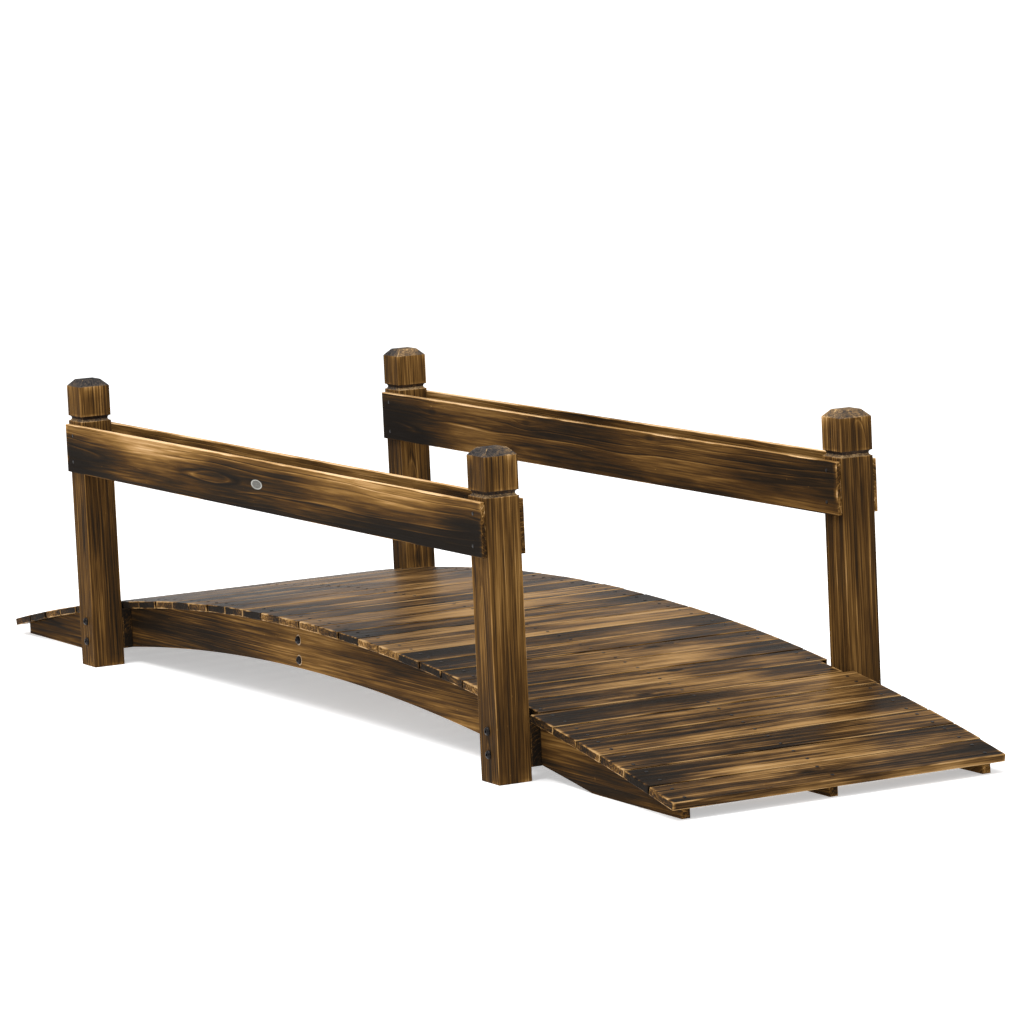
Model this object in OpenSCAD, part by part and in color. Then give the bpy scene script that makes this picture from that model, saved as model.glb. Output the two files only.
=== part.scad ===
// Arched garden footbridge in charred fir: curved deck on three stringers,
// four square posts and a pair of rail boards along each side.
// X runs along the span, Y across it, Z up. The ground is Z = 0.

/* [Overall] */
// Length over the two end boards
bridge_length = 2300; // [1950:10:2800]
// Clear width between the inner faces of the posts
clear_width = 542; // [440:2:800]
// Height of the flat tops of the posts
post_height = 484; // [430:1:640]

/* [Deck] */
// Number of cross boards
board_count = 34; // [28:2:40]
// Thickness of a cross board
board_thick = 12; // [9:0.5:18]
// Gap between neighbouring boards
board_gap = 1.5; // [1:0.1:4]
// Height of the walking surface at mid-span
deck_crown = 150; // [130:1:190]
// Height of the top edge of each end board
deck_tip = 27; // [22:1:32]
// How far the boards reach past the inner faces of the posts
deck_lap = 3.5; // [0:0.5:8]
// How much shorter the board between two posts is at each end
short_board_inset = 17; // [12:1:20]

/* [Stringers] */
// Thickness of a stringer
stringer_thick = 14; // [12:1:24]
// From the ends of the boards in to the outer face of a stringer
stringer_inset = 21; // [18:1:30]
// Height of the arch under a stringer at mid-span
arch_rise = 68; // [50:1:80]
// Length of the flat foot at each end of a stringer
foot_length = 249; // [150:1:300]
// How far the end board reaches past the tip of a stringer
tip_overhang = 13; // [4:1:20]
// How far the middle stringer stands off the centre line
middle_shift = 8; // [0:1:15]

/* [Posts] */
// Side of a square post
post_side = 54; // [45:1:70]
// Distance between the post centres along the span
post_span = 1432; // [1200:2:1600]
// Width of the chamfer round the top of a post
cap_chamfer = 11; // [4:1:16]
// Height of the block above the ring, up to the chamfer
cap_block = 50; // [30:1:70]
// Radius of the ring cut round a post
ring_radius = 4.2; // [2:0.1:5]
// Width of the flat that eases each long edge of a post
edge_ease = 1.5; // [0.5:0.1:4]

/* [Rails] */
// Height of a rail board
rail_height = 80; // [60:1:100]
// Thickness of a rail board
rail_thick = 8.5; // [7:0.5:20]
// From the ring in a post down to the top of the rails
ring_to_rail = 5.5; // [3:0.5:20]
// How far a rail board stops short of the end face of a post
rail_setback = 4; // [2:0.5:15]

/* [Hidden] */
// Derived levels of a post
cap_z = post_height - cap_chamfer;
ring_z = cap_z - cap_block - ring_radius;
rail_z = ring_z - ring_radius - ring_to_rail - rail_height;

// Derived places across the span
post_x = post_span / 2;
post_y = (clear_width + post_side) / 2;
deck_half = clear_width / 2 + deck_lap;
stringer_face = deck_half - stringer_inset;
stringer_y = stringer_face - stringer_thick / 2;
packer_thick = clear_width / 2 - stringer_face;

// The deck's top follows one arc, shared out evenly between the boards
deck_rise = deck_crown - deck_tip;
deck_radius = (pow(bridge_length / 2, 2) + pow(deck_rise, 2)) / (2 * deck_rise);
deck_centre_z = deck_crown - deck_radius;
deck_angle = asin((bridge_length + board_gap) / 2 / deck_radius);
board_angle = 2 * deck_angle / board_count;
board_width = 2 * deck_radius * tan(board_angle / 2) - board_gap;

// The seat is the line of flats, one to a board, along a stringer's top
seat_radius = deck_radius - board_thick;
stringer_half = bridge_length / 2 - tip_overhang;

// The arch under a stringer is one arc between its two feet
arch_half = stringer_half - foot_length;
arch_radius = (pow(arch_half, 2) + pow(arch_rise, 2)) / (2 * arch_rise);
arch_angle = asin(arch_half / arch_radius);
arch_steps = 24;

rail_half = post_x + post_side / 2 - rail_setback;
post_clearance = 2;

charred = [0.24, 0.16, 0.10];
scorched = [0.36, 0.23, 0.13];
golden = [0.52, 0.35, 0.19];

// Angle from the crown to the joint before board i, and to the middle of board i
function joint_angle(i) = -deck_angle + i * board_angle;
function board_mid(i) = joint_angle(i + 0.5);

// Corner of the seat under the joint before board i
function seat_corner(i) = [
    seat_radius / cos(board_angle / 2) * sin(joint_angle(i)),
    deck_centre_z + seat_radius / cos(board_angle / 2) * cos(joint_angle(i))
];

// Height of the seat of board i where it passes x
function seat_height(i, x) =
    deck_centre_z + (seat_radius - x * sin(board_mid(i))) / cos(board_mid(i));

// Point k of the arch under a stringer
function arch_point(k) =
    let (angle = arch_angle * (2 * k / arch_steps - 1))
    [arch_radius * sin(angle), arch_rise - arch_radius * (1 - cos(angle))];

// A board is short where a post stands in the way of its full length
function meets_post(i) =
    let (inner = deck_radius * min(abs(sin(joint_angle(i))), abs(sin(joint_angle(i + 1)))))
    let (outer = deck_radius * max(abs(sin(joint_angle(i))), abs(sin(joint_angle(i + 1)))))
    outer > post_x - post_side / 2 - post_clearance
    && inner < post_x + post_side / 2 + post_clearance;

function board_half(i) = meets_post(i) ? deck_half - short_board_inset : deck_half;

function board_name(i) = str("deck_board_", i < 9 ? "0" : "", i + 1);

// Side view of a stringer
module stringer_outline() {
    tip_seat = seat_height(board_count - 1, stringer_half);
    polygon(concat(
        [[-stringer_half, 0]],
        [for (k = [0 : arch_steps]) arch_point(k)],
        [[stringer_half, 0], [stringer_half, tip_seat]],
        [for (i = [board_count - 1 : -1 : 1]) seat_corner(i)],
        [[-stringer_half, tip_seat]]
    ));
}

// A side view stood upright and given a thickness along Y, centred on y
module upright_board(y, thick) {
    translate([0, y, 0])
        rotate([90, 0, 0])
            linear_extrude(thick, center = true)
                children();
}

module stringer(y) {
    color(scorched)
        upright_board(y, stringer_thick)
            stringer_outline();
}

// Blocks that fill the space between each post and the stringer beside it
module post_packers() {
    color(charred)
        for (x_side = [-1, 1], y_side = [-1, 1])
            upright_board(y_side * (stringer_face + packer_thick / 2), packer_thick)
                intersection() {
                    stringer_outline();
                    translate([x_side * post_x, post_height / 2])
                        square([post_side, post_height], center = true);
                }
}

// Side view of a post: straight sides, a round groove and a chamfered top
module post_outline() {
    half = post_side / 2;
    flat = half - cap_chamfer;
    difference() {
        polygon([
            [-half, 0], [half, 0],
            [half, cap_z], [flat, post_height],
            [-flat, post_height], [-half, cap_z]
        ]);
        for (side = [-1, 1])
            translate([side * half, ring_z])
                circle(ring_radius, $fn = 32);
    }
}

// Plan of a post: a square with a small flat along each edge
module post_plan() {
    intersection() {
        square(post_side, center = true);
        rotate(45)
            square(sqrt(2) * (post_side - edge_ease), center = true);
    }
}

module post(x_side, y_side) {
    color(charred)
        translate([x_side * post_x, y_side * post_y, 0])
            intersection() {
                linear_extrude(post_height)
                    post_plan();
                upright_board(0, post_side)
                    post_outline();
                rotate(90)
                    upright_board(0, post_side)
                        post_outline();
            }
}

// One rail board; inward is -1 on the outer faces of the posts, 1 on the inner faces
module rail(y_side, inward) {
    y = y_side * (post_y - inward * (post_side + rail_thick) / 2);
    color(scorched)
        translate([0, y, rail_z + rail_height / 2])
            cube([2 * rail_half, rail_thick, rail_height], center = true);
}

// One flat cross board, laid square to the arc
module deck_board(i) {
    color(golden)
        translate([0, 0, deck_centre_z])
            rotate([0, board_mid(i), 0])
                translate([0, 0, deck_radius - board_thick / 2])
                    cube([board_width, 2 * board_half(i), board_thick], center = true);
}

stringer(-stringer_y);  // stringer_right
stringer(-middle_shift);  // stringer_middle
stringer(stringer_y);  // stringer_left
post_packers();
post(1, -1);  // post_front_right
post(-1, -1);  // post_back_right
post(-1, 1);  // post_back_left
post(1, 1);  // post_front_left
rail(-1, -1);  // rail_right_outer
rail(-1, 1);  // rail_right_inner
rail(1, 1);  // rail_left_inner
rail(1, -1);  // rail_left_outer
for (i = [0 : board_count - 1])
    deck_board(i);
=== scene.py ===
# %% [markdown]
# # A charred garden footbridge
#
# The CAD model fixes every size and place: the arc of the deck, the posts, the rails and the stringers.
# This lesson dresses it as carpentry. Each plain CAD stick is swapped for a planed one with eased edges,
# cut in the mind from a log, so that its growth rings run through it as they do in real fir. Then come the
# bolts, the nails and a blank plate, a torch-charred finish, soft studio light and a camera.

# %% Load the frame
import math

import bpy
import numpy as np
from mathutils import Matrix, Vector


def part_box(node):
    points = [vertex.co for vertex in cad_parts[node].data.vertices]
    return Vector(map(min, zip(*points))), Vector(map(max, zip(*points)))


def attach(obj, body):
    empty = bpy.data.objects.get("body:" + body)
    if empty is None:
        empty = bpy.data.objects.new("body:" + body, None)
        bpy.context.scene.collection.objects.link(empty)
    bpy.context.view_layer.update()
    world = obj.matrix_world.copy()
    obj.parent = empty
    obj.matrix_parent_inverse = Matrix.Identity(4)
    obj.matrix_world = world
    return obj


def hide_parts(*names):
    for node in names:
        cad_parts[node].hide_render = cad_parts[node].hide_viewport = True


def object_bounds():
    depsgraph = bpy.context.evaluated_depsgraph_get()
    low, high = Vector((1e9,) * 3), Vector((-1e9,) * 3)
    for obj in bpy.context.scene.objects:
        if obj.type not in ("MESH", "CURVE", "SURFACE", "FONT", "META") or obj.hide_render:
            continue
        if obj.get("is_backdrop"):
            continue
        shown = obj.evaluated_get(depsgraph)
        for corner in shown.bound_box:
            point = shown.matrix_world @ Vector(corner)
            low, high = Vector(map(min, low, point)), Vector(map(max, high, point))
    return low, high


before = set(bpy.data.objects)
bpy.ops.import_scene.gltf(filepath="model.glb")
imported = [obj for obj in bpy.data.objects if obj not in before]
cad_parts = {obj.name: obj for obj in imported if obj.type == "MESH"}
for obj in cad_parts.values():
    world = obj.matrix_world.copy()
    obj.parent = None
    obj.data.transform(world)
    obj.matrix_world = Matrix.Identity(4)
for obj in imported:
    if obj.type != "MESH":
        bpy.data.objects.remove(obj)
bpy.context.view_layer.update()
MM = 0.001
dice = np.random.default_rng(34)

# %% [markdown]
# ## Reading the bridge off its CAD boxes
#
# Every deck board is a flat slab laid square to one arc. The box of a tilted slab doesn't say how far it is
# tilted, but its middle lies on the arc, so a circle fitted through the middles of all the boards gives the
# arc's radius and centre, and with them the tilt of each board. Solving two small equations then turns the
# box's width and height back into the board's own width and thickness.


# %% Find the arc and the boards
def node_box(node):
    """The lowest and highest corner of a CAD node, as arrays in metres."""
    low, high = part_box(node)
    return np.array(low), np.array(high)


def fit_arc(x, z):
    """Circle x^2 + z^2 = 2 z c + k through points mirrored about x = 0: its radius and centre height."""
    rows = np.column_stack([2 * z, np.ones_like(z)])
    centre, k = np.linalg.lstsq(rows, x**2 + z**2, rcond=None)[0]
    return math.sqrt(k + centre**2), centre


BOARDS = sorted(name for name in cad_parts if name.startswith("deck_board_"))
board_boxes = np.array([node_box(name) for name in BOARDS])
board_mid = board_boxes.mean(axis=1)
board_span = board_boxes[:, 1] - board_boxes[:, 0]
arc_radius, arc_centre = fit_arc(board_mid[:, 0], board_mid[:, 2])
board_tilt = np.arcsin(board_mid[:, 0] / arc_radius)

steep = int(np.argmax(abs(board_tilt)))
cosine, sine = math.cos(board_tilt[steep]), abs(math.sin(board_tilt[steep]))
board_width, board_thick = np.linalg.solve([[cosine, sine], [sine, cosine]], board_span[steep, [0, 2]])
seat_radius = arc_radius - board_thick / 2
print(len(BOARDS), "boards", round(board_width / MM, 1), "by", round(board_thick / MM, 1), "mm")
print("arc radius", round(arc_radius, 3), "m, steepest", round(math.degrees(math.asin(sine)), 1), "degrees")

# %% [markdown]
# ## One way to plane a stick
#
# Boards, rails, stringers and posts are all a rounded rectangle carried along a line. The rectangle's long
# edges are eased, because a planed and brushed edge is never sharp, and both ends are eased too. A box with
# a Bevel modifier would look alike, but a swept section lets each point also carry what the finish needs:
# where it lies in the log, how worn it is, and whether it is end grain.

# %% The section
EASE = 1.0 * MM
WORN_BAND = 0.7 * MM


def section(inner):
    """A rounded rectangle's points, counter-clockwise, as four arrays: the share of the straight half-width
    and half-height, the direction in which the easing pushes the point out, the direction in which it is
    tucked back by one worn band, and its wear. Each corner is a quarter circle. Between corners come two
    tucked points, and between those, `inner` points evenly along the wide sides."""
    rows = []
    corners = [(1, 1), (-1, 1), (-1, -1), (1, -1)]
    for k, (b, c) in enumerate(corners):
        angles = np.radians(90 * k + np.array([0, 30, 60, 90]))
        rows += [(b, c, math.cos(t), math.sin(t), 0, 0, 1) for t in angles]
        wide = k % 2 == 0
        push = (0, c) if wide else (b, 0)
        tuck = (b, 0) if wide else (0, c)
        rows.append((b, c, *push, *tuck, 0))
        if wide:
            rows += [(f * b, c, *push, 0, 0, 0) for f in np.linspace(1, -1, inner + 2)[1:-1]]
        b, c = corners[(k + 1) % 4]
        tuck = (b, 0) if wide else (0, c)
        rows.append((b, c, *push, *tuck, 0))
    rows = np.array(rows, float)
    return rows[:, 0:2], rows[:, 2:4], rows[:, 4:6], rows[:, 6]


print("a section has", len(section(5)[0]), "points")

# %% [markdown]
# The section is then set down at stations along the grain. A real end is rubbed round by handling, and the
# rubbed wood fades back into the char over a few millimetres. So the stations crowd together at each end,
# where the section is drawn in, and lie evenly in between.


# %% The stations
def eased_ends(start, stop, steps, fringe=4 * MM):
    """Stations along a stick: their places, how far the section is drawn in there, and their wear. Each end
    is a quarter circle, one worn band and a fringe where the wear fades, with even steps between."""
    curve = np.radians([90, 60, 30, 0])
    lead = np.append(EASE * (1 - np.sin(curve)), EASE + WORN_BAND)
    draw = np.append(EASE * (1 - np.cos(curve)), 0)
    fade = np.array([1, 1, 1, 1, 0.6])
    middle = np.linspace(start + lead[-1] + fringe, stop - lead[-1] - fringe, steps)
    along = np.concatenate([start + lead, middle, stop - lead[::-1]])
    inset = np.concatenate([draw, np.zeros(steps), draw[::-1]])
    worn = np.concatenate([fade, np.zeros(steps), fade[::-1]])
    return along, inset, worn


print("a metre with 17 even steps has", len(eased_ends(0, 1, 17)[0]), "stations")

# %% [markdown]
# The sweep joins sections and stations into one closed skin. It is worked out as whole arrays: every point
# of every ring at once, and then the two caps.

# %% The sweep
CAP_INSET = 0.9 * MM
LEAST_ROUND = 0.25
WIDEST_BAND = 0.7


def sweep(along, mid, half, inset, worn, inner=5, end=0, light=0, ease=EASE):
    """A stick in its own axes: a along the grain, b across its wide face, c through its thickness. The point
    is the station's middle, plus its share of what the easing leaves of the half-size, plus the easing's
    push, less its tuck. Each end is closed by a copy of its last ring, a smaller ring and one flat face, so
    that end grain starts sharply at the edge."""
    share, push, tuck, edge = section(inner)
    size = len(share)

    def rings(at, extra=0.0):
        """The rings of points at some stations, each drawn in by so much more."""
        drawn = inset[at, None] + extra
        radius = np.maximum(ease - drawn, LEAST_ROUND * ease)
        straight = half[at] - drawn - radius
        band = np.minimum(WORN_BAND, WIDEST_BAND * straight)
        flat = mid[at, None] + share * straight[:, None] + push * radius[:, :, None] - tuck * band[:, None]
        return np.concatenate([np.repeat(along[at], size)[:, None], flat.reshape(-1, 2)], axis=1)

    count = len(along)
    points = [rings(np.arange(count))]
    wear = [np.maximum(np.tile(edge, count), np.repeat(worn, size))]
    ends = [np.repeat(end * np.ones(count), size)]
    lights = [np.repeat(light * np.ones(count), size)]
    i, j = np.meshgrid(np.arange(count - 1), np.arange(size), indexing="ij")
    near, next_near = i * size + j, i * size + (j + 1) % size
    faces = np.stack([near, next_near, next_near + size, near + size], axis=-1).reshape(-1, 4).tolist()
    for station, outward in ((0, -1), (count - 1, 1)):
        rim = sum(map(len, points)) + np.arange(size)
        points += [rings(np.array([station])), rings(np.array([station]), extra=CAP_INSET)]
        wear += [np.ones(size), np.zeros(size)]
        ends.append(np.ones(2 * size))
        lights.append(np.zeros(2 * size))
        after = np.roll(rim, -1)
        quads = np.stack([rim, after, after + size, rim + size], axis=-1)
        faces += quads[:, ::outward].tolist()
        faces.append((rim + size)[::outward].tolist())
    return np.concatenate(points), faces, np.concatenate(wear), np.concatenate(ends), np.concatenate(lights)


trial = eased_ends(0, 1, 17)
trial_half = np.full((len(trial[0]), 2), 20 * MM)
trial_stick = sweep(trial[0], 0 * trial_half, trial_half, *trial[1:])
print("a metre of stick has", len(trial_stick[0]), "points and", len(trial_stick[1]), "faces")


# %% [markdown]
# ## From stick to object
#
# A stick is turned from its own axes into the bridge's axes, and its mesh keeps two attributes. `log` says
# where each point lies in the tree that the stick was sawn from, measured from the pith: the finish reads
# its rings from that, so a face, an edge and an end of one board always agree. `finish` holds the wear, the
# end-grain mark and a tone: how lightly this stick was burnt, plus painted shade and highlight in places.


# %% Place a stick in its log and in the bridge
def pith_place(deep, wide, lean):
    """Where a stick sits in its log: along the trunk, across and away from the pith, and how it leans."""
    return {
        "start": dice.uniform(0, 40),
        "across": dice.uniform(-wide, wide),
        "away": dice.choice([-1, 1]) * dice.uniform(*deep),
        "lean": dice.uniform(-lean, lean, 2),
    }


def place_stick(stick, origin, axes, place, tone, burnt_ends=(0, 0), reach=0.08):
    """World points are the origin plus a, b and c along three axes. Log coordinates are a, b and c moved to
    the stick's place in the trunk, and sheared by its lean, so that rings run out along its wide face. The
    tone falls towards each end by a bell curve of the distance from it."""
    points, faces, wear, ends, light = stick
    a, b, c = points.T
    # light adds painted light to the tone: a painted highlight or painted shade, as on the post's groove
    tone = tone + light
    for strength, stop in zip(burnt_ends, (a.min(), a.max())):
        tone = tone - strength * np.exp(-(((a - stop) / reach) ** 2))
    across = b + place["across"] + place["lean"][0] * a
    away = c + place["away"] + place["lean"][1] * a
    return {
        "points": np.array(origin) + points @ np.array(axes, float),
        "faces": faces,
        "log": np.column_stack([a + place["start"], across, away]),
        "finish": np.column_stack([wear, ends, tone]),
    }


# %% [markdown]
# A placed stick is still only arrays. Blender gets them in one call, with no loop over points, and the
# object stays at the origin, so that its mesh is already where the CAD wants it.


# %% Turn arrays into objects
def join(parts):
    """Several parts as one: their arrays end to end, and their faces counted on from each other."""
    starts = np.cumsum([0] + [len(part["points"]) for part in parts[:-1]])
    merged = {key: np.concatenate([p[key] for p in parts]) for key in parts[0] if key != "faces"}
    merged["faces"] = [[int(v) + int(n) for v in face] for p, n in zip(parts, starts) for face in p["faces"]]
    return merged


def add_piece(name, part, material, nodes=(), sharp=None):
    """A mesh object at the origin, with its place in its points, riding on the bridge."""
    mesh = bpy.data.meshes.new(name)
    mesh.from_pydata(part["points"].tolist(), [], part["faces"])
    for key in ("log", "finish"):
        if key in part:
            layer = mesh.attributes.new(key, "FLOAT_VECTOR", "POINT")
            layer.data.foreach_set("vector", np.ascontiguousarray(part[key], np.float32).ravel())
    mesh.polygons.foreach_set("use_smooth", np.ones(len(mesh.polygons), bool))
    if sharp:
        mesh.set_sharp_from_angle(angle=math.radians(sharp))
    mesh.materials.append(material)
    piece = bpy.data.objects.new(name, mesh)
    bpy.context.scene.collection.objects.link(piece)
    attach(piece, "root")
    if nodes:
        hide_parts(*nodes)
    return piece


# %% [markdown]
# ## Shader maths in plain Python
#
# A finish is a recipe: streaks plus rings plus blotches, each times how much of it there is. Written with
# Math nodes by hand that is hard to read, so one small class wraps a number socket and lets `+`, `-`, `*`
# and `/` add the nodes.


# %% A number socket that understands operators
class Number:
    """A shader socket that carries one number. Each operator adds a Math node and returns its result."""

    def __init__(self, recipe, socket):
        self.recipe = recipe
        self.socket = socket

    def math(self, operation, *values):
        """A Math node with that operation on the values."""
        node = self.recipe.node("ShaderNodeMath", {"operation": operation}, dict(enumerate(values)))
        return Number(self.recipe, node.outputs[0])

    def __add__(self, other):
        return self.math("ADD", self, other)

    def __sub__(self, other):
        return self.math("SUBTRACT", self, other)

    def __mul__(self, other):
        return self.math("MULTIPLY", self, other)

    def __truediv__(self, other):
        return self.math("DIVIDE", self, other)

    __radd__ = __add__
    __rmul__ = __mul__

    def root(self):
        """The square root."""
        return self.math("SQRT", self)

    def fraction(self):
        """What is left when the whole number is taken away."""
        return self.math("FRACT", self)

    def fade(self, zero_at, one_at):
        """0 at one reading, 1 at the other, and an S-curve between them."""
        node = self.recipe.node("ShaderNodeMapRange", {"interpolation_type": "SMOOTHSTEP"},
                                {"Value": self, "From Min": zero_at, "From Max": one_at})
        return Number(self.recipe, node.outputs[0])


# %% [markdown]
# All other nodes come from one method of a recipe, which takes the node's type, its settings and its inputs.
# The short methods after it name the few kinds of node that the finishes use over and over.


# %% A recipe that adds nodes
class Recipe:
    """A material under construction."""

    def __init__(self, name):
        self.material = bpy.data.materials.new(name)
        self.material.use_nodes = True
        self.tree = self.material.node_tree
        self.shader = self.tree.nodes["Principled BSDF"]

    def put(self, socket, value):
        """Links a Number or a socket, or sets a plain value."""
        value = getattr(value, "socket", value)
        if isinstance(value, bpy.types.NodeSocket):
            self.tree.links.new(value, socket)
        else:
            socket.default_value = value

    def node(self, kind, settings=None, inputs=None):
        """Adds a node: its settings first, then the values or links of its sockets."""
        node = self.tree.nodes.new(kind)
        for key, value in (settings or {}).items():
            if key == "stops":
                self.set_stops(node.color_ramp, value)
            else:
                setattr(node, key, value)
        for key, value in (inputs or {}).items():
            self.put(node.inputs[key], value)
        return node

    def set_stops(self, ramp, stops):
        """Gives a colour ramp its stops, as pairs of a place and a colour."""
        while len(ramp.elements) < len(stops):
            ramp.elements.new(0.5)
        for element, (place, colour) in zip(ramp.elements, stops):
            element.position = place
            element.color = (*colour, 1)

    def ramp(self, value, stops):
        """The colour that a ramp of stops gives for a value."""
        node = self.node("ShaderNodeValToRGB", {"stops": stops}, {0: value})
        return node.outputs["Color"]

    def grey_ramp(self, value, stops):
        """The same for a ramp of greys, as a Number."""
        return Number(self, self.ramp(value, [(place, (grey,) * 3) for place, grey in stops]))

    def vector(self, operation, first, second):
        """A Vector Math node on two vectors."""
        node = self.node("ShaderNodeVectorMath", {"operation": operation}, {0: first, 1: second})
        return node.outputs["Vector"]

    def length(self, vector):
        """How long a vector is, as a Number."""
        node = self.node("ShaderNodeVectorMath", {"operation": "LENGTH"}, {0: vector})
        return Number(self, node.outputs["Value"])

    def blend(self, share, first, second):
        """The first colour at share 0 and the second at share 1."""
        inputs = {"Factor": share, "A": first, "B": second}
        node = self.node("ShaderNodeMix", {"data_type": "RGBA"})
        for key, value in inputs.items():
            kind = "VALUE" if key == "Factor" else "RGBA"
            self.put(next(s for s in node.inputs if s.name == key and s.type == kind), value)
        return next(s for s in node.outputs if s.type == "RGBA")

    def noise(self, vector, detail=2.0, roughness=0.5):
        """Noise about 0, mostly between -0.3 and 0.3."""
        node = self.node("ShaderNodeTexNoise", None,
                         {"Vector": vector, "Scale": 1.0, "Detail": detail, "Roughness": roughness})
        return Number(self, node.outputs["Fac"]) - 0.5

    def finish(self, **inputs):
        """Sets the shader's own sockets, by their names with _ for a space."""
        for key, value in inputs.items():
            self.put(self.shader.inputs[key.replace("_", " ")], value)
        return self.material


# %% [markdown]
# ## Torch-charred fir
#
# The real finish is made by burning the planed fir with a torch, brushing off the soot and staining it. The
# soft spring wood burns deepest and the brush lifts it out, so fine grooves run along the grain. Where the
# flame lingered the wood is nearly black, where it passed quickly it stays golden, and the brush bares pale
# wood on every edge.
#
# Three ramps hold the colours. Upright boards go from black all the way to pale bare wood. The deck lies
# flat under the lamp and gets more light, so its ramp stops at honey. The posts' cut tops have soaked up the
# stain, so theirs goes from slate to tan.

# %% Colours from burnt to bare
BURNT_TO_BARE = [
    (0.00, (0.010, 0.0076, 0.0058)),
    (0.18, (0.020, 0.0126, 0.0070)),
    (0.36, (0.054, 0.0264, 0.0086)),
    (0.54, (0.132, 0.0660, 0.0180)),
    (0.70, (0.250, 0.1350, 0.0410)),
    (0.86, (0.410, 0.2400, 0.1000)),
    (1.00, (0.610, 0.4100, 0.2200)),
]
CHAR_TO_HONEY = [
    (0.00, (0.007, 0.0046, 0.0028)),
    (0.18, (0.013, 0.0078, 0.0040)),
    (0.36, (0.045, 0.0226, 0.0080)),
    (0.54, (0.135, 0.0700, 0.0220)),
    (0.70, (0.240, 0.1340, 0.0460)),
    (0.86, (0.300, 0.1760, 0.0680)),
    (1.00, (0.360, 0.2200, 0.0950)),
]
SLATE_TO_TAN = [
    (0.10, (0.016, 0.015, 0.016)),
    (0.36, (0.042, 0.038, 0.036)),
    (0.52, (0.082, 0.060, 0.042)),
    (0.72, (0.170, 0.105, 0.052)),
    (0.95, (0.420, 0.280, 0.140)),
]
print("ramps of", len(BURNT_TO_BARE), len(CHAR_TO_HONEY), "and", len(SLATE_TO_TAN), "colours")

# %% [markdown]
# Growth rings are circles about the pith, a line up the trunk that wanders a little. The finish measures
# how far each point is from that line, divides it by the width of a year and keeps the fraction. A ramp
# then gives each year its broad spring wood, its bright brushed line and its dark groove. A knot pushes the
# rings outwards, so that they part round it like water round a stone.

# %% Rings and knots
YEAR = [(0.0, 0.50), (0.50, 0.54), (0.68, 0.66), (0.76, 1.00), (0.82, 0.50), (0.91, 0.08), (1.0, 0.50)]
PITH_WANDER = (22 * MM, 30 * MM)
KNOT_CELLS = (2.3, 9.0, 3.0)
KNOT_REACH = (55 * MM, 14 * MM)
KNOT_HEART = (16 * MM, 6 * MM)
KNOT_SWELL = 16 * MM


def knot_field(mix, log, share):
    """Knots at the points of a Voronoi pattern, so many cells to the metre each way, of which about half are
    kept. The distance from a knot is measured in its own length and width. It fades into two numbers: how
    far the rings are pushed, and how dark the core is."""
    cells = mix.vector("MULTIPLY", log, KNOT_CELLS)
    voronoi = mix.node("ShaderNodeTexVoronoi", None, {"Vector": cells, "Scale": 1.0})
    lot = mix.node("ShaderNodeSeparateXYZ", None, {0: voronoi.outputs["Color"]}).outputs[0]
    kept = Number(mix, lot).fade(0.45, 0.55) * share
    apart = mix.vector("DIVIDE", mix.vector("SUBTRACT", cells, voronoi.outputs["Position"]), KNOT_CELLS)
    reach = mix.length(mix.vector("MULTIPLY", apart, (1 / KNOT_REACH[0], 1 / KNOT_REACH[1], 0)))
    heart = mix.length(mix.vector("MULTIPLY", apart, (1 / KNOT_HEART[0], 1 / KNOT_HEART[1], 0)))
    return reach.fade(1.5, 0.0) * kept, heart.fade(1.3, 0.3) * kept


def ring_field(mix, log, grain, swell, ring_width):
    """From -0.5 to 0.5 through each year: the fraction of the distance from the pith, with the knots' swell,
    over the width of a ring, looked up in the ramp of a year."""
    spot = mix.node("ShaderNodeSeparateXYZ", None, {0: log})
    across = Number(mix, spot.outputs[1]) + grain(1.6, 9) * PITH_WANDER[0]
    away = Number(mix, spot.outputs[2]) + grain(1.4, 8) * PITH_WANDER[1]
    from_pith = (across * across + away * away).root() + swell * KNOT_SWELL
    return mix.grey_ramp((from_pith / ring_width).fraction(), YEAR) - 0.5


print("a year has", len(YEAR), "shades")

# %% [markdown]
# The recipe adds everything up to one number, from burnt to bare, and one ramp colours it:
#
# - rings: the field above, where it shows
# - streaks: noise stretched far along the grain, at three widths
# - scorch: two broad soft noises, so that dark patches come and go along a board
# - wear: the eased edges, broken up by noise
#
# End grain takes its own sum and ramp. It has no streaks, and the stain makes it mottled.


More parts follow.
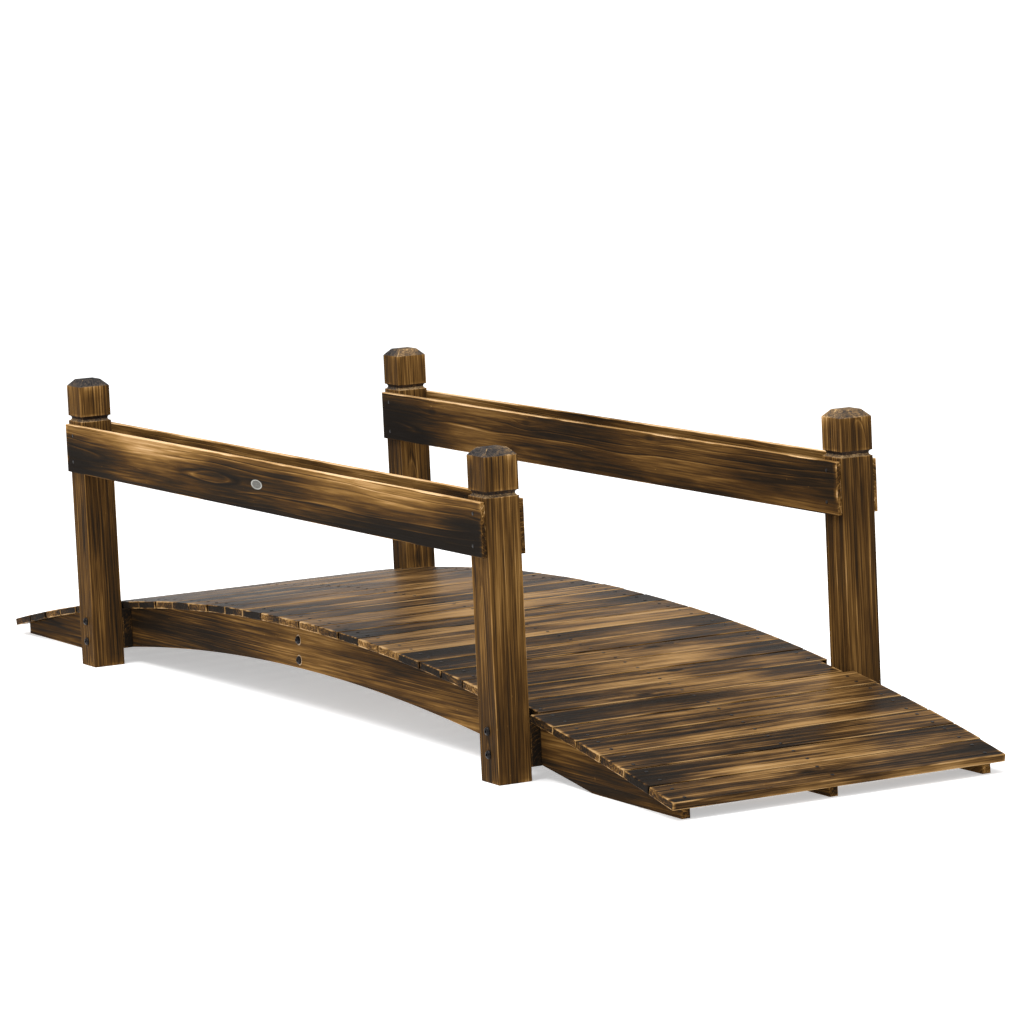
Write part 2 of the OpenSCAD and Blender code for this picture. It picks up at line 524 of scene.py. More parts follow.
# %% The finish as a function of a few strengths
def charred_fir(name, base, scorch, streak, ring, wear, faces=BURNT_TO_BARE, ends=BURNT_TO_BARE,
                end_base=0.36, ends_follow=2.4, ring_width=4.5 * MM, fine=160, spread=3.1, knots=1.0,
                shine=0.008, rough=0.54):
    """Charred fir from its average tone and the strength of each ingredient. The tone of a stick is added
    once along the grain and `ends_follow` times on end grain. `fine` is how many streaks there are to the
    metre, and `spread` how many patches."""
    mix = Recipe(name)
    log = mix.node("ShaderNodeAttribute", {"attribute_name": "log"}).outputs["Vector"]
    marks = mix.node("ShaderNodeAttribute", {"attribute_name": "finish"}).outputs["Vector"]
    marks = mix.node("ShaderNodeSeparateXYZ", None, {0: marks})
    worn, end, tone = [Number(mix, marks.outputs[k]) for k in range(3)]

    def grain(along, across, detail=2.0, roughness=0.5):
        """Noise with so many waves to the metre along the grain and across it."""
        return mix.noise(mix.vector("MULTIPLY", log, (along, across, across)), detail, roughness)

    swell, core = knot_field(mix, log, knots)
    year = ring_field(mix, log, grain, swell, ring_width)
    show = grain(2.0, 30, detail=1).fade(-0.12, 0.16)
    fibre = grain(8, fine * 2.1, detail=3, roughness=0.65)
    narrow = grain(2.6, fine, detail=3, roughness=0.6)
    broad = grain(1.3, 60)
    patch = grain(spread, 13, detail=4, roughness=0.6)
    flame = grain(1.4, 4)
    fleck = grain(70, 420, detail=1).fade(0.27, 0.36) + grain(330, 60, detail=1).fade(0.30, 0.38)
    rubbed = worn * grain(9, 40, detail=3).fade(-0.16, 0.24)
    mottle = grain(120, 230, detail=3, roughness=0.7)

    long_grain = (
        tone + base
        + (patch * 1.4 + flame * 1.2) * scorch
        + (fibre * 2.6 + narrow * 2.2 + broad) * streak
        + year * (show * 0.8 + 0.2) * ring
        + fleck * 0.3
        - core * 0.35
        + rubbed * wear
    )
    end_grain = tone * ends_follow + end_base + mottle * 1.1 + year * 0.5 + patch * 1.8 + rubbed * 0.7
    relief = fibre * 0.5 + narrow * 0.9 + year * 0.5 * ring - core * 0.3 + mottle * 0.5 * end
    bump = mix.node("ShaderNodeBump", None, {"Strength": 0.7, "Distance": 0.8 * MM, "Height": relief})
    return mix.finish(
        Base_Color=mix.blend(end, mix.ramp(long_grain, faces), mix.ramp(end_grain, ends)),
        Roughness=rough + fibre * 0.30 + narrow * 0.25 + end * 0.20,
        Normal=bump.outputs[0],
        Specular_IOR_Level=shine,
    )


# %% [markdown]
# Each kind of stick gets its own strengths. The deck is well streaked, and its edges are rubbed bare by
# feet. It is also the smoothest, so it shines a little where the eye looks along it. The rails show the
# widest rings and the biggest patches. The posts have the narrowest rings and the finest streaks, and were
# burnt the most evenly. The stringers are the darkest.

# %% The four finishes
DECK = charred_fir("deck_fir", base=0.40, scorch=0.95, streak=0.36, ring=0.25, wear=1.0, faces=CHAR_TO_HONEY,
                   end_base=0.44, ends_follow=1.5, ring_width=6 * MM, fine=120, spread=4.0,
                   shine=0.018, rough=0.34)
RAIL = charred_fir("rail_fir", base=0.37, scorch=1.15, streak=0.23, ring=0.55, wear=0.80,
                   end_base=0.50, ends_follow=0.6, ring_width=7 * MM, spread=1.5, knots=0.35)
POST = charred_fir("post_fir", base=0.425, scorch=0.45, streak=0.36, ring=0.35, wear=0.40, ends=SLATE_TO_TAN,
                   end_base=0.39, ring_width=3.2 * MM, fine=270, knots=0.3)
BEAM = charred_fir("beam_fir", base=0.275, scorch=0.90, streak=0.26, ring=0.50, wear=0.35,
                   ends_follow=1.0, ring_width=6 * MM, spread=1.7)
print("four charred finishes, the first with", len(DECK.node_tree.nodes), "nodes")

# %% [markdown]
# ## The deck
#
# Thirty-odd thin boards cross the stringers. They were sawn by hand and nailed one by one, so no two ends
# line up. Each board here is smaller than the CAD board that it stands for, and never larger: either end may
# stop up to 2.6 mm short, its width loses 1.0 to 2.8 mm, and its thickness up to 0.5 mm.
#
# The sides of a board that face a gap are painted nearly black, as painted shade in the gaps between the
# boards. The tone of a board is lowered there, and raised on the two sides that face out at the ends of the
# deck.

# %% Lay the deck boards
SAWN_SHORT = 2.6 * MM
SAWN_NARROW = (1.0 * MM, 2.8 * MM)
SAWN_THIN = 0.5 * MM
GAP_PAINTED_SHADE, OPEN_SIDE_LIGHT = -0.3, 0.12
BURNT_ENDS, BURNT_REACH = (0.06, 0.32), 100 * MM


def deck_board(index):
    """A board swept along Y and laid square to the arc: b runs up the slope and c points out of the arc."""
    low, high = board_boxes[index]
    tilt = board_tilt[index]
    trim = dice.uniform(0, SAWN_SHORT, 2)
    narrow = dice.uniform(*SAWN_NARROW)
    thin = dice.uniform(0, SAWN_THIN)
    along, inset, worn = eased_ends(low[1] + trim[0], high[1] - trim[1], 17)
    half = np.tile([(board_width - narrow) / 2, (board_thick - thin) / 2], (len(along), 1))
    mid = np.tile([0.0, -thin / 2], (len(along), 1))
    stick = sweep(along, mid, half, inset, worn)
    b, c = stick[0][:, 1], stick[0][:, 2]
    # the sides below the eased edge: painted shade where they face a gap, and a raised tone where they face
    # out at the deck's ends
    flank = (abs(b) > half[0, 0] - 0.01 * MM) & (c < half[0, 1] - thin / 2 - EASE - 0.3 * MM)
    open_side = np.where(b > 0, index == 0, index == len(BOARDS) - 1)
    up = [math.sin(tilt), 0, math.cos(tilt)]
    axes = [[0, 1, 0], [-math.cos(tilt), 0, math.sin(tilt)], up]
    place = pith_place(deep=(12 * MM, 70 * MM), wide=35 * MM, lean=0.02)
    origin = [board_mid[index, 0], 0, board_mid[index, 2]]
    tone = dice.normal(0.02, 0.05) + flank * np.where(open_side, OPEN_SIDE_LIGHT, GAP_PAINTED_SHADE)
    part = place_stick(stick, origin, axes, place, tone, dice.uniform(*BURNT_ENDS, 2), BURNT_REACH)
    name = BOARDS[index]
    return add_piece(f"{name}_planed", part, DECK, [name])


planks = [deck_board(index) for index in range(len(BOARDS))]
print(len(planks), "planks with", sum(len(plank.data.polygons) for plank in planks), "faces")

# %% [markdown]
# ## Rails
#
# Four straight boards stand on edge against the outer and inner faces of the posts. Their wide faces show
# the flame figure of the grain and the odd knot. The outer two are planed half a millimetre thin, so that
# nail heads and the plate can stand proud of them and still keep inside the CAD box.
#
# Its tone rises from the bottom edge to the top, and the top edge itself is the lightest: it is worn bare,
# and it carries a painted sheen as well.

# %% Hang the rails
PROUD = 0.5 * MM
PLANED_OFF = {"rail_right_outer": (PROUD, 0), "rail_left_outer": (0, PROUD)}
TOP_WEAR_AND_SHEEN = 0.35
RAIL_ENDS_BURNT, RAIL_ENDS_REACH = (0, 0.2), 160 * MM
UPRIGHT = [[1, 0, 0], [0, 0, 1], [0, -1, 0]]
RAILS = ["rail_right_outer", "rail_right_inner", "rail_left_inner", "rail_left_outer"]
rail_boxes = {name: np.array(node_box(name)) for name in RAILS}


def rail(node):
    """A board swept along X, with b up its wide face and c out through its thickness."""
    low, high = rail_boxes[node]
    along, inset, worn = eased_ends(low[0], high[0], 31, fringe=9 * MM)
    back, front = PLANED_OFF.get(node, (0, 0))
    thick = high[1] - low[1] - back - front
    half = np.tile([(high[2] - low[2]) / 2, thick / 2], (len(along), 1))
    stick = sweep(along, np.zeros((len(along), 2)), half, inset, worn)
    origin = [0, (low[1] + back + high[1] - front) / 2, (low[2] + high[2]) / 2]
    place = pith_place(deep=(8 * MM, 45 * MM), wide=30 * MM, lean=0.012)
    rise = stick[0][:, 1] / half[0, 0]
    burn, climb = (-0.04, 0.20) if node.endswith("outer") else (0.05, 0.06)
    # the top edge is lightened both as wear and as a painted sheen
    tone = dice.normal(burn, 0.02) + climb * rise + TOP_WEAR_AND_SHEEN * (rise > 0.99)
    burnt_ends = dice.uniform(*RAIL_ENDS_BURNT, 2)
    part = place_stick(stick, origin, UPRIGHT, place, tone, burnt_ends, RAIL_ENDS_REACH)
    return add_piece(f"{node}_board", part, RAIL, [node])


rails = [rail(node) for node in RAILS]
print(len(rails), "rails", round(np.ptp(rail_boxes[RAILS[0]][:, 0]), 3), "m long")

# %% [markdown]
# ## Stringers and packers
#
# Three upright boards carry the deck. Their tops follow the deck's arc, and a shallower arch is sawn out
# below, between two flat feet. The rise of that arch and where it starts are read from the CAD mesh, and
# both edges become functions of x.

# %% Read the stringer's outline
STRINGERS = ["stringer_right", "stringer_middle", "stringer_left"]
corners = np.array([v.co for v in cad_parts[STRINGERS[0]].data.vertices])


def seat_height(x):
    """The deck's arc, one board's thickness down."""
    return arc_centre + np.sqrt(seat_radius**2 - x**2)


under = corners[corners[:, 2] < seat_height(corners[:, 0]) - 10 * MM]
arch_rise = under[:, 2].max()
arch_half = abs(under[under[:, 2] < 0.1 * MM, 0]).min()
arch_radius = (arch_half**2 + arch_rise**2) / (2 * arch_rise)


def under_height(x):
    """The arch between the feet, and the ground under them."""
    arch = arch_rise - arch_radius + np.sqrt(arch_radius**2 - np.minimum(abs(x), arch_half) ** 2)
    return np.where(abs(x) < arch_half, arch, 0.0)


print("the arch is", round(arch_rise / MM), "mm high,", round(2 * arch_half, 3), "m between the feet")

# %% [markdown]
# With an edge above and an edge below for every x, the same sweep makes the stringers and the packers. A
# packer fills the gap between a stringer and a post, and has the stringer's outline cut to the post's width.
# It hides in the shade of the post, and is painted darker, as painted shade.

# %% Shape the stringers and the packers
STRINGER_STEPS, PACKER_STEPS = 93, 5
# the packers' tone is lowered as painted shade, for the post's shade on them
PACKER_PAINTED_SHADE = -0.32


def upright_beam(low, high, steps, place, tone):
    """A board swept along X between the under edge and the seat, which are both functions of x."""
    along, inset, worn = eased_ends(low[0], high[0], steps)
    top, bottom = seat_height(along), under_height(along)
    thick = high[1] - low[1]
    mid = np.column_stack([(top + bottom) / 2, np.zeros(len(along))])
    half = np.column_stack([(top - bottom) / 2, np.full(len(along), thick / 2)])
    stick = sweep(along, mid, half, inset, worn, inner=3)
    return place_stick(stick, [0, (low[1] + high[1]) / 2, 0], UPRIGHT, place, tone)


for node in STRINGERS:
    low, high = node_box(node)
    place = pith_place(deep=(10 * MM, 60 * MM), wide=60 * MM, lean=0.01)
    beam = upright_beam(low, high, STRINGER_STEPS, place, 0.0)
    add_piece(f"{node}_sawn", beam, BEAM, [node])

post_names = [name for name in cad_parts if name.startswith("post_") and name != "post_packers"]
posts = {name: np.array(node_box(name)) for name in post_names}
stringer_face = node_box("stringer_left")[1][1]
packer_face = node_box("post_packers")[1][1]
packers = []
for post_low, post_high in posts.values():
    side = np.sign(post_low[1] + post_high[1])
    y = np.sort([side * stringer_face, side * packer_face])
    place = pith_place(deep=(10 * MM, 40 * MM), wide=20 * MM, lean=0.01)
    box_low, box_high = [post_low[0], y[0]], [post_high[0], y[1]]
    packers.append(upright_beam(box_low, box_high, PACKER_STEPS, place, PACKER_PAINTED_SHADE))
add_piece("packer_blocks", join(packers), BEAM, ["post_packers"])
print(len(STRINGERS), "stringers and", len(packers), "packers")

# %% [markdown]
# ## Posts
#
# A post is one sweep up the grain. What makes it a post is how far the section is drawn in at each height:
# a little at the foot, a half round at the ring, and steadily along the chamfer of the cap. The chamfer
# cuts across the grain, so it is marked as end grain and shows the rings.

# %% Heights of a post
CAP_CHAMFER = 11 * MM
CAP_BLOCK = 50 * MM
RING_RADIUS = 4.2 * MM
first_low, first_high = next(iter(posts.values()))
post_height = first_high[2]
post_half = (first_high[0] - first_low[0]) / 2
cap_z = post_height - CAP_CHAMFER
ring_z = cap_z - CAP_BLOCK - RING_RADIUS


def post_stations():
    """Rows of height, draw-in, wear, end-grain mark and added painted light, from the foot to the flat top.
    The
    groove is a half circle: its height is the ring's less the radius times the cosine of an angle, and its
    draw-in is the radius times the sine. It was cut after the burning, so it shows bare end grain, fully on
    its lower half. Its lower half and the lip under it are painted lighter, as a painted highlight, and its
    upper half darker, as painted shade."""
    # the foot, in millimetres
    rows = [(0, 1.2, 1, 0, 0), (0.4, 0.5, 1, 0, 0), (1.2, 0, 1, 0, 0), (6, 0, 0.3, 0, 0), (20, 0, 0, 0, 0)]
    rows = [(z * MM, d * MM, w, e, t) for z, d, w, e, t in rows]
    # the shaft, and the worn lip under the groove, which also gets a painted highlight
    rows += [(z, 0, 0, 0, 0) for z in np.linspace(60 * MM, ring_z - 60 * MM, 8)]
    lip = ring_z - RING_RADIUS
    rows += [(lip - 10 * MM, 0, 0, 0, 0), (lip - 1.6 * MM, 0, 0.2, 0, 0), (lip - 0.4 * MM, 0, 1, 0, 0.1)]
    # the groove, with a painted highlight on its lower half and painted shade on its upper half
    for angle in np.radians(np.linspace(0, 180, 13)):
        low = angle < math.radians(85)
        z, d = ring_z - RING_RADIUS * math.cos(angle), RING_RADIUS * math.sin(angle)
        rows.append((z, d, 0, 1 if low else 0.5, 0.13 if low else -0.12))
    # the worn lip above it, and the block of the cap
    lip = ring_z + RING_RADIUS
    rows += [(lip + 0.8 * MM, 0, 0.7, 0, 0), (lip + 5 * MM, 0, 0.1, 0, 0), (lip + 18 * MM, 0, 0, 0, 0)]
    rows += [(cap_z - 20 * MM, 0, 0, 0, 0), (cap_z - 8 * MM, 0, 0.4, 0, 0), (cap_z - 2 * MM, 0, 0.9, 0, 0)]
    # the edge of the chamfer, and the chamfer
    rows += [(cap_z - 0.7 * MM, 0, 1, 0, 0), (cap_z - 0.1 * MM, 0.2 * MM, 1, 0.3, 0)]
    rows += [(cap_z + 0.4 * MM, 0.6 * MM, 0.4, 1, 0)]
    chamfer = np.linspace(2 * MM, CAP_CHAMFER - 1.2 * MM, 4)
    rows += [(cap_z + rise, rise + 0.1 * MM, 0, 1, 0) for rise in chamfer]
    # the rim of the flat top
    rows += [(post_height - 0.5 * MM, CAP_CHAMFER - 0.4 * MM, 0.3, 1, 0)]
    rows += [(post_height, CAP_CHAMFER + 0.6 * MM, 0.3, 1, 0)]
    return np.array(rows, float).T


height, drawn, worn, end, light = post_stations()
print("a post has", len(height), "stations, and its ring is", round(ring_z, 3), "m up")

# %% [markdown]
# The four posts share those stations. Each is sawn from close to the pith, so the rings of its cut top curve
# strongly. The back pair is burnt a little darker than the front pair.

# %% Raise the posts
POST_EASE = 0.9 * MM
BACK_TONE, FRONT_TONE = -0.05, 0.03
FOOT_BURNT, FOOT_REACH = 0.08, 120 * MM
UP_THE_GRAIN = [[0, 0, 1], [1, 0, 0], [0, 1, 0]]

for name, (post_low, post_high) in posts.items():
    centre = (post_low + post_high) / 2
    half = np.full((len(height), 2), post_half)
    stick = sweep(height, np.zeros_like(half), half, drawn, worn, 5, end, light, ease=POST_EASE)
    place = pith_place(deep=(2 * MM, 14 * MM), wide=14 * MM, lean=0.01)
    tone = dice.normal(0, 0.02) + (BACK_TONE if centre[0] < 0 else FRONT_TONE)
    origin = [centre[0], centre[1], 0]
    part = place_stick(stick, origin, UP_THE_GRAIN, place, tone, (FOOT_BURNT, 0), FOOT_REACH)
    add_piece(f"{name}_grooved", part, POST, [name])
print(len(posts), "posts", round(post_height, 3), "m tall")

# %% [markdown]
# ## Nails, bolts and nuts
#
# Every fixing is a short profile turned about its own axis: a few rings with a radius and a height each. A
# ring can be round or six-sided, which covers sockets and nuts. A nail repeats hundreds of times, so it has
# only a few dozen faces. All copies of one fixing come from one broadcast sum, and share one mesh.


# %% Turn the fixings
def turned(profile, places, outward, sides=24, stretch=(1.0, 1.0)):
    """Copies of a turned shape as one part. The profile's rows are radius, height and how six-sided the ring
    is. A hexagon's radius at angle t is its flat's distance over the cosine of t's angle from that flat.
    Each point is a place, plus the radius along two side axes, plus the height along the outward axis."""
    radius, height, hexed = np.array(profile, float).T
    angle = np.arange(sides) * 2 * np.pi / sides
    off_flat = (angle + np.pi / 6) % (np.pi / 3) - np.pi / 6
    reach = radius[:, None] * (1 - hexed[:, None] + hexed[:, None] / np.cos(off_flat))
    outward = np.broadcast_to(np.array(outward, float), (len(places), 3))
    first = np.where(abs(outward[:, :1]) < 0.9, [[1.0, 0, 0]], [[0, 1.0, 0]])
    second = np.cross(outward, first)
    second /= np.linalg.norm(second, axis=1)[:, None]
    first = np.cross(second, outward)
    side_u = (reach * np.cos(angle) * stretch[0])[None, :, :, None] * first[:, None, None]
    side_v = (reach * np.sin(angle) * stretch[1])[None, :, :, None] * second[:, None, None]
    up = height[None, :, None, None] * outward[:, None, None]
    points = np.array(places)[:, None, None] + side_u + side_v + up
    rings = len(radius)
    i, j = np.meshgrid(np.arange(rings - 1), np.arange(sides), indexing="ij")
    near, after = i * sides + j, i * sides + (j + 1) % sides
    quads = np.stack([near, after, after + sides, near + sides], axis=-1).reshape(-1, 4)
    foot = np.arange(sides)[::-1]
    top = np.arange(sides) + (rings - 1) * sides
    one = quads.tolist() + [foot.tolist(), top.tolist()]
    step = rings * sides
    faces = [[v + k * step for v in face] for k in range(len(places)) for face in one]
    return {"points": points.reshape(-1, 3), "faces": faces}


sample = turned([(1, 0, 0), (1, 1, 0)], [[0, 0, 0]], [0, 0, 1])
print("a drum of two rings has", len(sample["points"]), "points and", len(sample["faces"]), "faces")

# %% [markdown]
# The profiles are drawn from the wood outwards. Each row is a radius and a height in millimetres, and how
# six-sided the ring is there. A nail is a low dome. A bolt is a higher dome with a six-sided socket sunk in
# it. A rim is the flat ring of fresh wood round a bore. A nut stands on its washer, with the bolt's end
# through it.

# %% Profiles of the fixings
NAIL = np.array([(2.9, -0.8, 0), (3.0, 0.05, 0), (2.7, 0.32, 0), (1.4, 0.42, 0)]) * [MM, MM, 1]
BOLT = np.array([
    (6.4, 0, 0), (6.6, 0.5, 0), (6.5, 1.3, 0), (6.0, 2.4, 0), (5.2, 3.3, 0), (4.2, 4.0, 0),
    (3.3, 4.4, 0), (2.5, 4.5, 0.6), (2.2, 4.3, 1), (2.1, 2.4, 1),
]) * [MM, MM, 1]
RIM = np.array([(8.4, -0.2, 0), (8.3, 0.1, 0), (7.9, 0.2, 0), (7.2, 0.12, 0), (6.4, 0.02, 0)]) * [MM, MM, 1]
NUT = np.array([
    (8.0, 0, 0), (8.0, 1.3, 0), (6.6, 1.5, 0), (6.5, 1.5, 1), (6.5, 6.6, 1), (5.6, 7.4, 0.3),
    (3.9, 7.4, 0), (3.9, 10.5, 0), (3.3, 11.2, 0),
]) * [MM, MM, 1]
print("a bolt head is", round(2 * BOLT[:, 0].max() / MM, 1), "mm across")

# %% [markdown]
# ## Finishes for the small parts
#
# The fixings are blackened steel: nearly black, a little browned, with a soft shine that noise breaks up.
# The plate is brushed aluminium. Its streaks run along the rail, so the noise is stretched that way, and the
# field inside its rim has gone dull. The rims round the bores at mid-span are fresh wood, since they were
# drilled after the burning. All four are two colours mixed by noise, so one recipe makes them.


# %% Make the small finishes
def small_part_finish(name, dark, light, rough, waves, bump_height, metallic=1.0):
    """Two colours mixed by noise, with so many waves to the metre along X, Y and Z. The same noise raises
    the roughness and the bump."""
    mix = Recipe(name)
    where = mix.node("ShaderNodeTexCoord").outputs["Object"]
    grain = mix.noise(mix.vector("MULTIPLY", where, waves), detail=4, roughness=0.6)
    bump = mix.node("ShaderNodeBump", None, {"Strength": 0.4, "Distance": bump_height, "Height": grain})
    return mix.finish(
        Base_Color=mix.blend(grain.fade(-0.2, 0.2), (*dark, 1), (*light, 1)),
        Roughness=rough + grain * 0.5,
        Normal=bump.outputs[0],
        Metallic=metallic,
    )


STEEL = small_part_finish("blackened_steel", (0.006, 0.006, 0.007), (0.030, 0.027, 0.026), rough=0.45,
                          waves=(700, 700, 700), bump_height=0.1 * MM)
PLATE = small_part_finish("brushed_plate", (0.22, 0.22, 0.20), (0.46, 0.45, 0.41), rough=0.34,
                          waves=(180, 4000, 4000), bump_height=0.05 * MM)
FRESH = small_part_finish("fresh_cut_fir", (0.20, 0.12, 0.055), (0.50, 0.34, 0.19), rough=0.6,
                          waves=(150, 150, 900), bump_height=0.1 * MM, metallic=0.0)
DULL = small_part_finish("dulled_plate", (0.05, 0.05, 0.045), (0.22, 0.21, 0.19), rough=0.5,
                         waves=(300, 900, 900), bump_height=0.05 * MM)
print("four small finishes:", STEEL.name, PLATE.name, FRESH.name, DULL.name)

# %% [markdown]
# ## Drive the fixings
#
# Two nails go through each board into each stringer, one on either side of the board's middle line. They
# are driven by hand, so each is a millimetre or two off its mark.

# %% Nail the deck
NAIL_FROM_MIDDLE = 17 * MM
NAIL_SUNK = 0.2 * MM

for node in STRINGERS:
    y = float(np.mean([corner[1] for corner in node_box(node)]))
    spots, ways = [], []
    for index, tilt in enumerate(board_tilt):
        up = np.array([math.sin(tilt), 0, math.cos(tilt)])
        slope = np.array([math.cos(tilt), 0, -math.sin(tilt)])
        top = board_mid[index] * [1, 0, 1] + up * (board_thick / 2 - NAIL_SUNK)
        for side in (-1, 1):
            reach = side * (NAIL_FROM_MIDDLE + dice.normal(0, 1.5 * MM))
            spots.append(top + slope * reach + np.array([0, y + dice.normal(0, 1.6 * MM), 0]))
            ways.append(up)
    add_piece(f"nails_{node}", turned(NAIL, spots, ways, sides=10), STEEL)
print(len(STRINGERS), "rows of", len(spots), "nails")

# %% [markdown]
# Two nails, one above the other, hold each end of each rail. An outer rail is nailed from outside and an
# inner rail from inside, so the heads point away from the posts.

# %% Nail the rails
NAIL_FROM_END, NAIL_FROM_EDGE = 27 * MM, 16 * MM

spots, ways = [], []
for node, (low, high) in rail_boxes.items():
    side = np.sign(low[1])
    inner_y, outer_y = sorted((low[1], high[1]), key=abs)
    inner = node.endswith("inner")
    face = inner_y if inner else outer_y - side * PROUD
    for x in (low[0] + NAIL_FROM_END, high[0] - NAIL_FROM_END):
        for z in (low[2] + NAIL_FROM_EDGE, high[2] - NAIL_FROM_EDGE):
            spots.append([x + dice.normal(0, 2 * MM), face, z + dice.normal(0, 1.5 * MM)])
            ways.append([0, -side if inner else side, 0])
add_piece("nails_rails", turned(NAIL, spots, ways, sides=10), STEEL)
print(len(spots), "nails in the rails")

# %% [markdown]
# Two bolts run through the foot of each post, its packer and the stringer, with a nut inside. Two more show
# near mid-span on each outer stringer, one above the other, in bores with a fresh rim.

# %% Fit the bolts
POST_BOLTS = (42 * MM, 76 * MM)
MID_BOLTS = (81 * MM, 113 * MM)
MID_BOLT_X = -45 * MM

bolts = []
for post_low, post_high in posts.values():
    x, side = (post_low[0] + post_high[0]) / 2, np.sign(post_low[1] + post_high[1])
    outer_face = max(abs(post_low[1]), abs(post_high[1]))
    bolts += [(x, side, outer_face, z) for z in POST_BOLTS]
bolts += [(MID_BOLT_X, side, stringer_face, z) for side in (-1, 1) for z in MID_BOLTS]

x, side, outer_face, z = np.array(bolts).T
inner_face = node_box("stringer_left")[0][1]
heads = np.column_stack([x, side * outer_face, z])
nuts = np.column_stack([x, side * inner_face, z])
outward = side[:, None] * [0, 1, 0]
mid_span = x == MID_BOLT_X
add_piece("bolt_heads", turned(BOLT, heads, outward), STEEL, sharp=35)
add_piece("bore_rims", turned(RIM, heads[mid_span], outward[mid_span]), FRESH)
add_piece("bolt_nuts", turned(NUT, nuts, -outward), STEEL, sharp=35)
print(len(bolts), "bolts,", mid_span.sum(), "of them at mid-span")

# %% [markdown]
# ## A blank plate
#
# An oval plate with a raised rim is pinned to the middle of one outer rail. It is the same turned profile,
# stretched to an oval: the radii are shares of its half-length and half-height, and the heights are in
# millimetres. The dull field inside the rim is a second piece. The plate carries no lettering.

# %% Pin the plate on
PLATE_HALF = (19.5 * MM, 7.5 * MM)
PLATE_LIFT = 2 * MM
OVAL = [(1.0, -0.1, 0), (1.0, 0.3, 0), (0.95, 0.46, 0), (0.86, 0.46, 0), (0.82, 0.3, 0), (0.3, 0.3, 0)]
FIELD = [(0.8, 0.2, 0), (0.8, 0.33, 0), (0.76, 0.38, 0), (0.3, 0.38, 0)]

low, high = rail_boxes["rail_right_outer"]
spot = [[0, low[1] + PROUD, (low[2] + high[2]) / 2 + PLATE_LIFT]]
plate = turned(np.array(OVAL) * [1, MM, 1], spot, [0, -1, 0], sides=48, stretch=PLATE_HALF)
add_piece("blank_plate", plate, PLATE, sharp=40)
field = turned(np.array(FIELD) * [1, MM, 1], spot, [0, -1, 0], sides=48, stretch=PLATE_HALF)
add_piece("plate_field", field, DULL)
print("plate", round(2 * PLATE_HALF[0] / MM), "by", round(2 * PLATE_HALF[1] / MM), "mm")

# %% [markdown]
# ## Studio
#
# The bridge stands on a pale floor under a pale sky, as in a light tent. The floor is a disc, so that it
# looks the same from all round, and it glows a little, so that it stays as pale as the sky behind it. It is
# staged: it belongs to the studio and not to the bridge.

# %% Lay the floor
FLOOR_RADIUS = 90
FLOOR_GLOW = 0.45


def floor_disc(radius, sides=96):
    """One flat face through points evenly round a circle, in a pale matt finish."""
    angle = np.arange(sides) * 2 * np.pi / sides
    points = np.column_stack([radius * np.cos(angle), radius * np.sin(angle), np.zeros(sides)])
    mesh = bpy.data.meshes.new("studio_floor")
    mesh.from_pydata(points.tolist(), [], [list(range(sides))])
    mix = Recipe("pale_floor")
    where = mix.node("ShaderNodeTexCoord").outputs["Object"]
    shade = mix.noise(where, detail=2).fade(-0.3, 0.3)
    mesh.materials.append(mix.finish(
        Base_Color=mix.blend(shade, (0.84, 0.84, 0.84, 1), (0.86, 0.86, 0.86, 1)),
        Roughness=0.9,
        Emission_Color=(1, 1, 1, 1),
        Emission_Strength=FLOOR_GLOW,
    ))
    return bpy.data.objects.new("studio_floor", mesh)


floor = floor_disc(FLOOR_RADIUS)
bpy.context.scene.collection.objects.link(floor)
floor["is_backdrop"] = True
print("floor", 2 * FLOOR_RADIUS, "m across")

# %% [markdown]
# The white sky lights everything evenly. One broad lamp overhead then gives the tops a brighter edge than
# the sides, with soft shadows, because it is larger than the bridge.

# %% Hang the sky and the lamp
SKY_STRENGTH = 0.75
LAMP_SIZE, LAMP_POWER = 3.5, 265

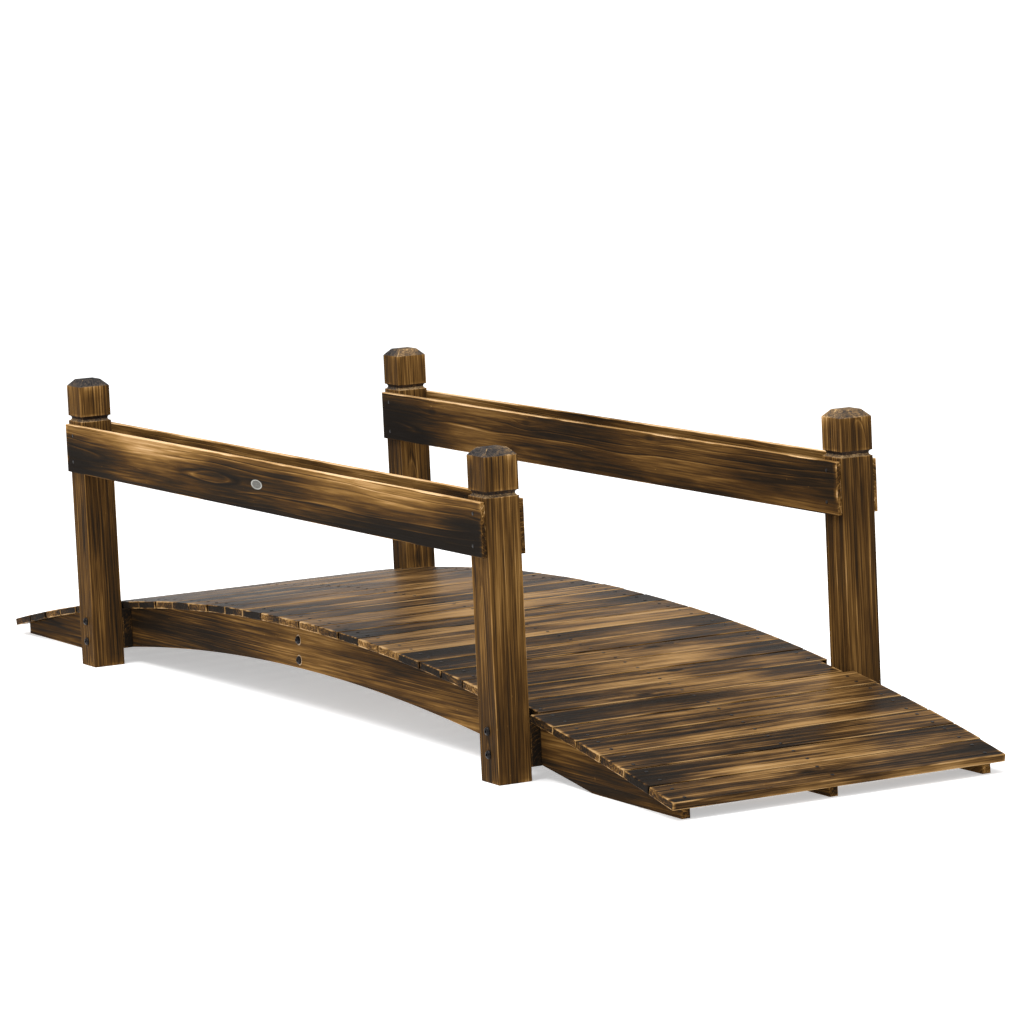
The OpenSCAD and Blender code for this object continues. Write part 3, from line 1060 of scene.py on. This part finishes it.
world = bpy.data.worlds.new("light_tent")
bpy.context.scene.world = world
world.use_nodes = True
world.node_tree.nodes["Background"].inputs["Color"].default_value = (1, 1, 1, 1)
world.node_tree.nodes["Background"].inputs["Strength"].default_value = SKY_STRENGTH


def softbox(name, spot, target, size, power):
    """A square area lamp that faces a target: its own -Z axis is turned along the line from it to there."""
    lamp = bpy.data.lights.new(name, "AREA")
    lamp.size = size
    lamp.energy = power
    rig = bpy.data.objects.new(name, lamp)
    rig.location = spot
    aim = Vector(target) - Vector(spot)
    rig.rotation_euler = aim.to_track_quat("-Z", "Y").to_euler()
    bpy.context.scene.collection.objects.link(rig)


softbox("overhead", (0.5, -1.3, 4.1), (0, 0, 0.2), LAMP_SIZE, LAMP_POWER)
bpy.context.scene.view_settings.view_transform = "Standard"
print("one lamp of", LAMP_POWER, "W")

# %% [markdown]
# The camera stands low, well back and off the front ramp's corner, with a long lens, so the bridge looks
# nearly flat in depth. It is set by the point it looks at, its distance, and three angles: how far round it
# stands from the right-hand side, how high it stands and how far it is rolled.

# %% Set the camera
AZIMUTH, ELEVATION, ROLL = math.radians(61.89), math.radians(7.346), math.radians(-2.641)
AIM = Vector((0.0369, 0.0931, 0.2881))
DISTANCE = 7.9475
FOCAL_LENGTH = 176.35

back = Vector((
    math.sin(AZIMUTH) * math.cos(ELEVATION),
    -math.cos(AZIMUTH) * math.cos(ELEVATION),
    math.sin(ELEVATION),
))
lens = bpy.data.cameras.new("camera")
lens.lens = FOCAL_LENGTH
camera = bpy.data.objects.new("camera", lens)
camera.location = AIM + back * DISTANCE
camera.rotation_mode = "QUATERNION"
turn = (-back).to_track_quat("-Z", "Y").to_matrix() @ Matrix.Rotation(ROLL, 3, "Z")
camera.rotation_quaternion = turn.to_quaternion()
bpy.context.scene.collection.objects.link(camera)
bpy.context.scene.camera = camera
print("camera", [round(v, 3) for v in camera.location])

# %% [markdown]
# ## The size
#
# The dressed bridge has to fill the CAD box and no more, so its visual box is printed.

# %% Print the visual box
low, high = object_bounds()
print("visual box", [round(v, 4) for v in low], [round(v, 4) for v in high])
